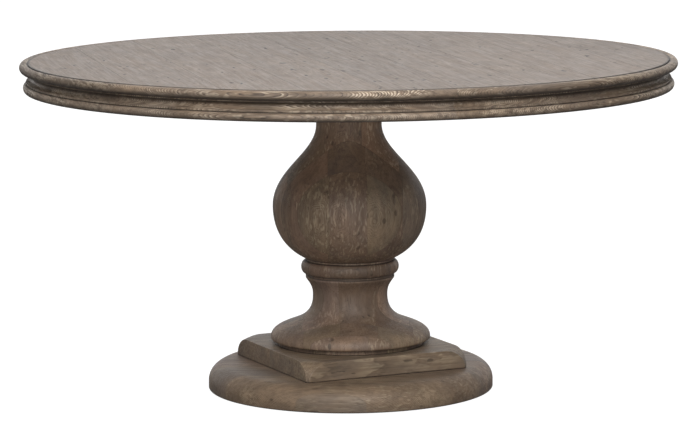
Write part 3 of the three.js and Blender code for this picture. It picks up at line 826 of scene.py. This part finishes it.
# The baluster's tone carries painted light, and painted shade lines lie at its foot.
sawn_from(
    baluster,
    (0, 0, 1),
    SIDEWAYS,
    pith=(0.043, 0.034),
    start=9.0,
    tone=bulb_painted_light,
    painted_shade_and_glaze=painted_shade_and_glaze_near((bulb_bottom, foot_top), JOINT_SHADE_REACH),
)
baluster.data.materials.append(column_oak)
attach(baluster, "table")
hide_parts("baluster")

# ------------------------------------------------------------- Field boards
# Nine flat-sawn oak boards glued edge to edge make the field of the top. Each is its own
# length of tree, so tone and figure change from board to board; the outer ends are cut
# to the circle and eased, and painted shade with dark glaze makes a fine dark line inside the lip.

TOP_TURN = math.radians(-12.5)
BOARDS = 9
FIELD_RADIUS = 0.742
END_EASING = 0.0010
EDGE_EASING = 0.0001
EDGE_BAND = 0.0002
SHADE_LINE_BAND = 0.005
END_STEPS = 60
SLIVER = 1e-5

top_oak = oak_finish(
    "top oak",
    light=(0.184, 0.138, 0.106, 1),
    dark=(0.083, 0.057, 0.042, 1),
    grey=(0.158, 0.127, 0.110, 1),
    relief=0.06,
    Grain=0.14,
    Pores=0.25,
    Checks=1.0,
    Patches=0.35,
    Knots=1.0,
    Taper=0.035,
    Rubbed=0.08,
    Flecks=0.1,
)


def board_loop(left, right, easing_side, easing_end, height):
    """One closed loop of a board's outline: two straight sides and two ends on the circle."""
    reach = FIELD_RADIUS - easing_end
    left = max(left + easing_side, -reach + SLIVER)
    right = min(right - easing_side, reach - SLIVER)
    loop = []
    for sign in (-1, 1):
        first = math.asin((left if sign < 0 else right) / reach)
        last = math.asin((right if sign < 0 else left) / reach)
        for step in range(END_STEPS + 1):
            turn = first + (last - first) * step / END_STEPS
            loop.append((reach * math.sin(turn), sign * reach * math.cos(turn), height))
    return loop


def end_painted_shade_and_glaze(corner):
    """Painted shade and dark glaze on the boards' sawn ends and just over their edge, for the dark line
    inside the lip.
    """
    on_end = corner.co.xy.length > FIELD_RADIUS - END_EASING - 0.3 * SHADE_LINE_BAND
    return 0.9 if on_end or corner.co.z < top_level - 0.4 * END_EASING else 0.0


top_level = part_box("field_board_1")[1].z
draw = random.Random(11)
for number in range(BOARDS):
    low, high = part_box(f"field_board_{number + 1}")
    width = 2 * FIELD_RADIUS / BOARDS
    left = -FIELD_RADIUS + number * width + SEAM / 2
    right = left + width - SEAM
    loops = [
        board_loop(left, right, 0, 0, low.z),
        board_loop(left, right, 0, 0, high.z - END_EASING),
        board_loop(left, right, EDGE_EASING, END_EASING, high.z),
        board_loop(left, right, EDGE_EASING + EDGE_BAND, END_EASING + SHADE_LINE_BAND, high.z),
    ]
    count = len(loops[0])
    corners = [
        (
            x * math.cos(TOP_TURN) - y * math.sin(TOP_TURN),
            x * math.sin(TOP_TURN) + y * math.cos(TOP_TURN),
            z,
        )
        for loop in loops
        for x, y, z in loop
    ]
    faces = [tuple(reversed(range(count))), tuple(range(3 * count, 4 * count))]
    for tier in range(3):
        for side in range(count):
            beside = (side + 1) % count
            here = tier * count
            faces.append((here + side, here + beside, here + count + beside, here + count + side))
    board = piece_of(f"field_board_{number + 1}_oak", corners, faces)
    middle = (left + right) / 2
    across = (math.cos(TOP_TURN), math.sin(TOP_TURN), 0)
    along = (-math.sin(TOP_TURN), math.cos(TOP_TURN), 0)
    sign = draw.choice((-1, 1))
    sawn_from(
        board,
        tuple(sign * value for value in along),
        across,
        pith=(-middle + draw.uniform(-0.05, 0.05), high.z * sign + draw.uniform(0.04, 0.11)),
        start=draw.uniform(0, 20),
        tone=draw.uniform(0.93, 1.07),
        painted_shade_and_glaze=end_painted_shade_and_glaze,
    )
    board.data.materials.append(top_oak)
    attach(board, "table")
    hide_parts(f"field_board_{number + 1}")

# ------------------------------------------------------ Rim: lip and moulding
# Twelve curved lengths of oak, each sawn from a straight board, so its grain runs along
# its chord and breaks into chevrons on the curve: six make the half-round lip, and six
# under them the cove, fillet and bead. Their joints stand one above another.

SEGMENTS = 6
RIM_TURN = TOP_TURN + math.radians(5) - math.pi / 2
RIM_STEPS = 120


def rim_tree():
    """Geometry Nodes: carries a flat outline round an arc and gives it its finish."""
    tree = bpy.data.node_groups.new("rim run", "GeometryNodeTree")
    face = tree.interface
    face.new_socket("Outline", in_out="INPUT", socket_type="NodeSocketGeometry")
    for label in ("Radius", "Start", "Sweep"):
        face.new_socket(label, in_out="INPUT", socket_type="NodeSocketFloat")
    face.new_socket("Steps", in_out="INPUT", socket_type="NodeSocketInt")
    face.new_socket("Finish", in_out="INPUT", socket_type="NodeSocketMaterial")
    face.new_socket("Moulding", in_out="OUTPUT", socket_type="NodeSocketGeometry")
    given = tree.nodes.new("NodeGroupInput").outputs
    out = tree.nodes.new("NodeGroupOutput")
    feeds = {"Resolution": given["Steps"], "Radius": given["Radius"]}
    feeds.update({"Start Angle": given["Start"], "Sweep Angle": given["Sweep"]})
    path = part(tree, "GeometryNodeCurveArc", feeds, mode="RADIUS")
    level = part(tree, "GeometryNodeSetCurveNormal", {"Curve": path.outputs[0]}, mode="Z_UP")
    outline = part(tree, "GeometryNodeMeshToCurve", {0: given["Outline"]})
    feeds = {"Curve": level.outputs[0], "Profile Curve": outline.outputs[0], "Fill Caps": True}
    swept = part(tree, "GeometryNodeCurveToMesh", feeds)
    real = part(tree, "GeometryNodeRealizeInstances", {0: swept.outputs[0]})
    feeds = {"Geometry": real.outputs[0], "Material": given["Finish"]}
    dressed = part(tree, "GeometryNodeSetMaterial", feeds)
    tree.links.new(dressed.outputs[0], out.inputs[0])
    return tree


def set_inputs(modifier, **values):
    """Sets a Geometry Nodes modifier's inputs by their labels."""
    for item in modifier.node_group.interface.items_tree:
        label = item.name.replace(" ", "_").lower()
        if item.in_out == "INPUT" and label in values:
            modifier[item.identifier] = values[label]


RIM_RUN = rim_tree()


def rim_piece(name, outline, start, sweep, finish):
    """A plain mesh of one length of the rim, swept from its outline of (radius, height)."""
    reach = max(radius for radius, height in outline)
    flat = bpy.data.meshes.new(name)
    points = [(radius - reach, -height, 0) for radius, height in outline]
    flat.from_pydata(points, [(at, (at + 1) % len(points)) for at in range(len(points))], [])
    piece = bpy.data.objects.new(name, flat)
    bpy.context.scene.collection.objects.link(piece)
    run = piece.modifiers.new("run", "NODES")
    run.node_group = RIM_RUN
    set_inputs(run, radius=reach, start=start, sweep=sweep, steps=RIM_STEPS + 1, finish=finish)
    settled(piece)
    mesh = piece.data
    bpy.data.objects.remove(piece)
    return finished(name, mesh)


lip_low, lip_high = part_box("lip_segment_1")
mould_low, mould_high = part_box("moulding_segment_1")
NOSE = 0.762
LIP_ROUND = 0.010
LIP_HALF = 0.0105
LIP_REBATE = (0.7455, 0.001)
FIELD_PROUD = 0.0030
FILLET = 0.745
FILLET_HEIGHT = 0.006
COVE = (0.012, 0.0085)
COVE_DROP = 0.0027
BEAD_ROUND = 0.007
BEAD_INSET = 0.002
QUIRK = (0.0005, 0.0016)
MOULD_INNER = 0.691
SHADE_LINE = (0.0035, 0.004)
cove_top = mould_high.z - COVE_DROP
cove_bottom = cove_top - 2 * COVE[1]
bead_top = cove_bottom - FILLET_HEIGHT
bead_half = (bead_top - mould_low.z) / 2
bead_middle = FILLET + BEAD_INSET

lip_bottom = lip_low.z + LIP_REBATE[1]
lip_middle = (lip_bottom + lip_high.z) / 2
lip_outline = [(FIELD_RADIUS + SEAM, lip_low.z), (LIP_REBATE[0], lip_low.z)]
lip_outline += [(LIP_REBATE[0], lip_bottom), (NOSE - LIP_ROUND, lip_bottom)]
lip_outline += arc(NOSE - LIP_ROUND, lip_middle, LIP_ROUND, LIP_HALF, -90, 90, 24)[1:]
lip_outline += bezier(
    (NOSE - LIP_ROUND, lip_high.z),
    (NOSE - LIP_ROUND - 0.003, lip_high.z),
    (FIELD_RADIUS + SEAM + 0.003, lip_high.z - FIELD_PROUD),
    (FIELD_RADIUS + SEAM, lip_high.z - FIELD_PROUD),
    8,
)

quirk_top = bead_top + QUIRK[1]
mould_outline = [(MOULD_INNER, mould_low.z), (bead_middle, mould_low.z)]
mould_outline += arc(bead_middle, mould_low.z + bead_half, BEAD_ROUND, bead_half, -90, 90, 20)[1:]
mould_outline += [(FILLET - QUIRK[0], bead_top), (FILLET - QUIRK[0], quirk_top)]
mould_outline += [(bead_middle, quirk_top), (bead_middle, cove_bottom), (FILLET, cove_bottom)]
mould_outline += arc(FILLET, (cove_top + cove_bottom) / 2, *COVE, -90, -270, 20)[1:]
mould_outline += [(FILLET, mould_high.z), (MOULD_INNER, mould_high.z)]

rim_oak = oak_finish(
    "rim oak",
    light=(0.268, 0.190, 0.126, 1),
    dark=(0.060, 0.039, 0.026, 1),
    grey=(0.190, 0.152, 0.124, 1),
    reach=0.009,
    Grain=1.0,
    Taper=0.01,
    Ring_Gap=0.0021,
    Rubbed=1.0,
    Pale=(0.64, 0.53, 0.40, 1),
)


def rim_painted_shade_and_glaze(corner):
    """Painted shade and dark glaze in the line beside the field, and painted shade under the roundings."""
    near_field = corner.co.xy.length < FIELD_RADIUS + SHADE_LINE[0]
    if near_field and corner.co.z > lip_high.z - SHADE_LINE[1]:
        return 0.9
    # Painted shade: the more a corner faces down, the darker it is painted.
    return 0.85 * min(max(0.35 - corner.normal.z, 0), 1)


RIM_PITH_DEPTH = 0.74
BOARD_CENTRE = NOSE * math.cos(math.radians(14))
# Each length's tone. The lip's lengths at the left end and front right are darker as painted shade, where the
# light falls off to the sides.
RIM_TONES_AND_PAINTED_SHADE = {
    "lip_segment": (0.84, 1.0, 0.95, 1.05, 0.66, 1.05),
    "moulding_segment": (0.92, 0.95, 1.05, 0.98, 0.98, 0.98),
}
span = 2 * math.pi / SEGMENTS
inset = SEAM / 2 / FIELD_RADIUS
for number in range(SEGMENTS):
    start = RIM_TURN + number * span
    for node, outline in (("lip_segment", lip_outline), ("moulding_segment", mould_outline)):
        name = f"{node}_{number + 1}"
        rim = rim_piece(f"{name}_oak", worn(outline, 0.0005, 2), start + inset, span - 2 * inset, rim_oak)
        chord = start + span / 2 + math.pi / 2 + math.radians(draw.uniform(-9, 9))
        aside = draw.choice((-1, 1)) * draw.uniform(0.07, 0.12)
        sawn_from(
            rim,
            (math.cos(chord), math.sin(chord), 0),
            (math.sin(chord), -math.cos(chord), 0),
            pith=(aside - BOARD_CENTRE, RIM_PITH_DEPTH + draw.uniform(-0.02, 0.02)),
            start=draw.uniform(0, 20),
            tone=RIM_TONES_AND_PAINTED_SHADE[node][number] * draw.uniform(0.97, 1.03),
            painted_shade_and_glaze=rim_painted_shade_and_glaze,
        )
        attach(rim, "table")
        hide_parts(name)

# ------------------------------------------- Cleats, mounting plate and steel
# The cleats and the plate are plain sanded oak, out of sight. The bolts, tie rod, washers,
# screws and threaded feet are zinc-plated steel; the pads are moulded plastic.


def wood_finish(name, light, dark, turn):
    """Sanded oak with no stain, for pieces whose grain runs level."""
    finish = bpy.data.materials.new(name)
    finish.use_nodes = True
    tree = finish.node_tree
    tree.nodes.clear()
    place = part(tree, "ShaderNodeTexCoord").outputs["Object"]
    feeds = {"Vector": place, "Rotation": turn, "Location": (0.11, 0.07, 0.4)}
    turned = part(tree, "ShaderNodeMapping", feeds)
    feeds = {"Log": turned.outputs[0], "Light": light, "Dark": dark, "Patches": 0.1}
    oak = part(tree, "ShaderNodeGroup", feeds, node_tree=OAK)
    feeds = {"Height": oak.outputs["Height"], "Strength": 0.4, "Distance": 0.0005}
    bump = part(tree, "ShaderNodeBump", feeds)
    feeds = {"Base Color": oak.outputs["Color"], "Normal": bump.outputs[0]}
    feeds["Roughness"] = oak.outputs["Roughness"]
    surface = part(tree, "ShaderNodeBsdfPrincipled", feeds)
    out = part(tree, "ShaderNodeOutputMaterial")
    tree.links.new(surface.outputs[0], out.inputs["Surface"])
    return finish


def steel_finish():
    """Zinc plate, with the dull bloom it gets in a few years."""
    finish = bpy.data.materials.new("zinc plate")
    finish.use_nodes = True
    tree = finish.node_tree
    tree.nodes.clear()
    place = part(tree, "ShaderNodeTexCoord").outputs["Object"]
    bloom = part(tree, "ShaderNodeTexNoise", {"Vector": place, "Scale": 180.0, "Detail": 4.0})
    dulled = ramp(tree, bloom.outputs[0], 0.35, 0.65)
    colour = blended(tree, dulled, (0.42, 0.42, 0.43, 1), (0.30, 0.29, 0.27, 1))
    rough = ramp(tree, bloom.outputs[0], 0.3, 0.7, 0.28, 0.46)
    feeds = {"Base Color": colour, "Roughness": rough, "Metallic": 1.0}
    surface = part(tree, "ShaderNodeBsdfPrincipled", feeds)
    out = part(tree, "ShaderNodeOutputMaterial")
    tree.links.new(surface.outputs[0], out.inputs["Surface"])
    return finish


def plastic_finish():
    """Black moulded plastic with a fine spark-eroded grain."""
    finish = bpy.data.materials.new("black plastic")
    finish.use_nodes = True
    tree = finish.node_tree
    tree.nodes.clear()
    place = part(tree, "ShaderNodeTexCoord").outputs["Object"]
    grain = part(tree, "ShaderNodeTexNoise", {"Vector": place, "Scale": 900.0, "Detail": 2.0})
    feeds = {"Height": grain.outputs[0], "Strength": 0.2, "Distance": 0.0002}
    bump = part(tree, "ShaderNodeBump", feeds)
    rough = ramp(tree, grain.outputs[0], 0.3, 0.7, 0.45, 0.6)
    feeds = {"Base Color": (0.014, 0.014, 0.015, 1), "Roughness": rough, "Normal": bump.outputs[0]}
    surface = part(tree, "ShaderNodeBsdfPrincipled", feeds)
    out = part(tree, "ShaderNodeOutputMaterial")
    tree.links.new(surface.outputs[0], out.inputs["Surface"])
    return finish


PLAIN_OAK_LIGHT = (0.42, 0.30, 0.19, 1)
PLAIN_OAK_DARK = (0.20, 0.125, 0.07, 1)
plain_oak = wood_finish("plain oak", PLAIN_OAK_LIGHT, PLAIN_OAK_DARK, (0, math.pi / 2, 0))
steel = steel_finish()
plastic = plastic_finish()
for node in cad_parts.values():
    dressed = None
    if node.name.startswith(("cleat", "mounting_plate")):
        dressed = plain_oak
    elif node.name.startswith(("plate_", "tie_", "base_screw", "foot_insert", "foot_stud")):
        dressed = steel
    elif node.name.startswith("foot_pad"):
        dressed = plastic
    if dressed:
        node.data.materials.clear()
        node.data.materials.append(dressed)

# ------------------------------------------------------- Floor, light, camera
# A pale floor and a pale room that is brightest beyond the table. A wide soft light hangs
# over the table, a strong one stands high on the camera's side, and a low one beside it.

FLOOR_REACH = 30
FLOOR_GLOW = 0.90
floor_mesh = bpy.data.meshes.new("floor")
floor_corners = [(x * FLOOR_REACH, y * FLOOR_REACH, 0) for x, y in ((-1, -1), (1, -1), (1, 1), (-1, 1))]
floor_mesh.from_pydata(floor_corners, [], [(0, 1, 2, 3)])
floor = bpy.data.objects.new("floor", floor_mesh)
bpy.context.scene.collection.objects.link(floor)
paint = bpy.data.materials.new("floor paint")
paint.use_nodes = True
floor_tree = paint.node_tree
matt = floor_tree.nodes["Principled BSDF"]
matt.inputs["Base Color"].default_value = (0.26, 0.255, 0.25, 1)
matt.inputs["Roughness"].default_value = 0.9
matt.inputs["Emission Color"].default_value = (1, 1, 1, 1)
seen = part(floor_tree, "ShaderNodeLightPath").outputs["Is Camera Ray"]
floor_tree.links.new(sums(floor_tree, "MULTIPLY", seen, FLOOR_GLOW), matt.inputs["Emission Strength"])
floor_mesh.materials.append(paint)

CAMERA_TURN = math.radians(-25)
ROOM_LIGHT = 0.28
WALL_LIGHT = 1.2
world = bpy.data.worlds.new("room")
world.use_nodes = True
room = world.node_tree
bright = room.nodes["Background"]
facing = part(room, "ShaderNodeTexCoord").outputs["Generated"]
away = (-math.sin(CAMERA_TURN), math.cos(CAMERA_TURN), 0.15)
behind = part(room, "ShaderNodeVectorMath", {0: facing, 1: away}, operation="DOT_PRODUCT").outputs["Value"]
strength = sums(room, "ADD", ramp(room, behind, 0.3, 0.95, 0.0, WALL_LIGHT), ROOM_LIGHT)
seen = part(room, "ShaderNodeLightPath").outputs["Is Camera Ray"]
room.links.new(sums(room, "MAXIMUM", strength, seen), bright.inputs["Strength"])
bright.inputs["Color"].default_value = (1, 1, 1, 1)
bpy.context.scene.world = world
bpy.context.scene.view_settings.view_transform = "Standard"


def soft_light(name, place, target, size, power):
    """A flat lamp turned to face a target; size is in metres and power in watts."""
    lamp = bpy.data.lights.new(name, "AREA")
    lamp.shape = "RECTANGLE"
    lamp.size, lamp.size_y = size
    lamp.energy = power
    light = bpy.data.objects.new(name, lamp)
    light.location = place
    light.rotation_euler = (Vector(target) - Vector(place)).to_track_quat("-Z", "Y").to_euler()
    bpy.context.scene.collection.objects.link(light)


CAMERA_AWAY = 7.563
CAMERA_HEIGHT = 1.478
CAMERA_DOWN = 0.1429
CAMERA_ROLL = 0.0071
CAMERA_ASIDE = 0.0008
SENSOR = 36
FOCAL_SHARE = 4.66514


def from_camera(aside, away, height):
    """A place given as seen from the camera: to its right, towards it, and up."""
    right = Vector((math.cos(CAMERA_TURN), math.sin(CAMERA_TURN), 0))
    near = Vector((math.sin(CAMERA_TURN), -math.cos(CAMERA_TURN), 0))
    return right * aside + near * away + Vector((0, 0, height))


soft_light("overhead", from_camera(0.9, 0.2, 3.4), (0.1, 0, 0.7), (2.4, 2.2), 26)
soft_light("key", from_camera(0.1, 4.2, 2.9), (0, 0, 0.45), (2.0, 1.8), 155)
soft_light("low fill", from_camera(-0.5, 5.3, 1.1), (0, 0, 0.4), (1.2, 1.0), 52)

lens = bpy.data.cameras.new("camera")
lens.sensor_width = SENSOR
lens.lens = SENSOR * FOCAL_SHARE
camera = bpy.data.objects.new("camera", lens)
camera.location = from_camera(CAMERA_ASIDE, CAMERA_AWAY, CAMERA_HEIGHT)
view = Vector((-math.sin(CAMERA_TURN), math.cos(CAMERA_TURN), 0)) * math.cos(CAMERA_DOWN)
view -= Vector((0, 0, math.sin(CAMERA_DOWN)))
camera.rotation_euler = view.to_track_quat("-Z", "Y").to_euler()
camera.rotation_euler.rotate_axis("Z", -CAMERA_ROLL)
bpy.context.scene.collection.objects.link(camera)
bpy.context.scene.camera = camera
